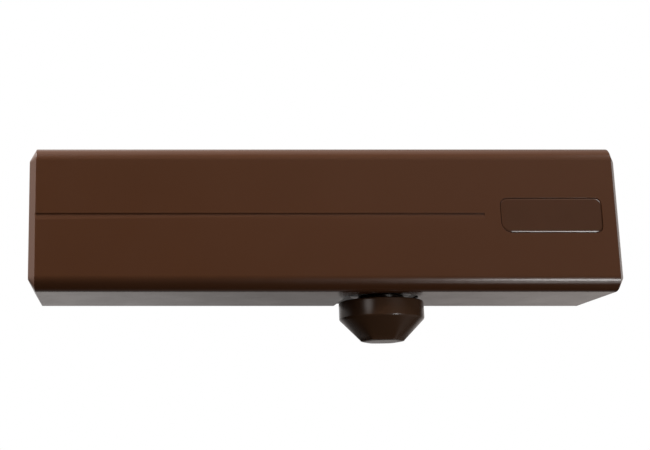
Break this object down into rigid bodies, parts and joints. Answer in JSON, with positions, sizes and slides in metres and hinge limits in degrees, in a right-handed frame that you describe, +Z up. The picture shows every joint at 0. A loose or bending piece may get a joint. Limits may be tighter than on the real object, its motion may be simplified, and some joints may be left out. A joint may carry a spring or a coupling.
{
  "type": "overhead door closer",
  "caption": "Slim overhead door closer: rack and pinion, springs and oil valves in a cast housing under a long clip-on cover, with a square spindle and a faceted spindle cap.",
  "frame": {"origin": "centre of the pattern of four fixing holes, on the housing's back face, which is the wall or door plane; the door is closed", "axes": "+X along the cover, to the right seen from the front; +Y into the wall; +Z up, along the spindle"},
  "size_m": [0.243, 0.048, 0.0817],
  "materials": {
    "cover_plastic": "satin moulded plastic, brown",
    "badge_plastic": "smooth insert, brown",
    "cap_plastic": "smooth moulded plastic, brown",
    "painted_casting": "cast, painted dark brown, satin",
    "machined_steel": "machined, oiled",
    "plated_steel": "zinc plated",
    "spring_steel": "dark drawn wire",
    "bearing_bronze": "sintered, oily",
    "valve_brass": "turned",
    "seal_rubber": "matt black",
    "ball_steel": "polished"
  },
  "bodies": {
    "housing": {"housing": "painted_casting", "port_balls": "ball_steel", "end_plug_left": "plated_steel", "end_plug_right": "plated_steel", "end_plug_oring_left": "seal_rubber", "end_plug_oring_right": "seal_rubber", "upper_bush": "bearing_bronze", "lower_bush": "bearing_bronze", "upper_shaft_seal": "seal_rubber", "lower_shaft_seal": "seal_rubber", "upper_bearing_cap": "plated_steel", "lower_bearing_cap": "plated_steel", "upper_cap_oring": "seal_rubber", "lower_cap_oring": "seal_rubber", "outer_spring": "spring_steel", "inner_spring": "spring_steel"},
    "cover": {"cover": "cover_plastic", "badge_plate": "badge_plastic"},
    "spindle": {"pinion": "machined_steel"},
    "cap": {"spindle_cap": "cap_plastic"},
    "piston": {"piston": "machined_steel", "check_ball_retainer": "plated_steel"},
    "check_ball": {"check_ball": "ball_steel"},
    "adjusting_screw": {"adjusting_screw": "plated_steel", "adjusting_screw_oring": "seal_rubber"},
    "spring_seat": {"spring_seat": "machined_steel"},
    "closing_valve": {"closing_valve": "valve_brass", "closing_valve_oring": "seal_rubber"},
    "latching_valve": {"latching_valve": "valve_brass", "latching_valve_oring": "seal_rubber"},
    "backcheck_valve": {"backcheck_valve": "valve_brass", "backcheck_valve_oring": "seal_rubber"}
  },
  "joints": [
    {"name": "piston_slide", "type": "slide", "parent": "housing", "child": "piston", "axis": [-1, 0, 0], "range_m": [0, 0.02513], "stiffness_N_per_m": 60000, "deforming": ["outer_spring", "inner_spring"]},
    {"name": "pinion_turn", "type": "hinge", "parent": "housing", "child": "spindle", "pos_m": [0.0263, -0.024, 0], "axis": [0, 0, 1], "range_deg": [0, 180]},
    {"name": "spring_seat_slide", "type": "slide", "parent": "housing", "child": "spring_seat", "axis": [1, 0, 0], "range_m": [0, 0.009]},
    {"name": "spring_adjust_turn", "type": "hinge", "parent": "housing", "child": "adjusting_screw", "pos_m": [-0.104, -0.024, 0], "axis": [-1, 0, 0], "range_deg": [0, 2160]},
    {"name": "closing_valve_turn", "type": "hinge", "parent": "housing", "child": "closing_valve", "pos_m": [0.104, -0.009, 0.02], "axis": [1, 0, 0], "range_deg": [-360, 360]},
    {"name": "latching_valve_turn", "type": "hinge", "parent": "housing", "child": "latching_valve", "pos_m": [0.104, -0.009, -0.02], "axis": [1, 0, 0], "range_deg": [-360, 360]},
    {"name": "backcheck_valve_turn", "type": "hinge", "parent": "housing", "child": "backcheck_valve", "pos_m": [-0.104, -0.009, 0.02], "axis": [-1, 0, 0], "range_deg": [-360, 360]},
    {"name": "check_ball_lift", "type": "slide", "parent": "piston", "child": "check_ball", "axis": [1, 0, 0], "range_m": [0, 0.0024]},
    {"name": "cover_release", "type": "slide", "parent": "housing", "child": "cover", "axis": [0, -1, 0], "range_m": [0, 0.07]},
    {"name": "cap_pull", "type": "slide", "parent": "spindle", "child": "cap", "axis": [0, 0, -1], "range_m": [0, 0.012]}
  ],
  "couplings": [
    {"joint": "pinion_turn", "follows": "piston_slide", "rad_per_m": 125},
    {"joint": "spring_adjust_turn", "follows": "spring_seat_slide", "rad_per_m": 4188.8}
  ]
}
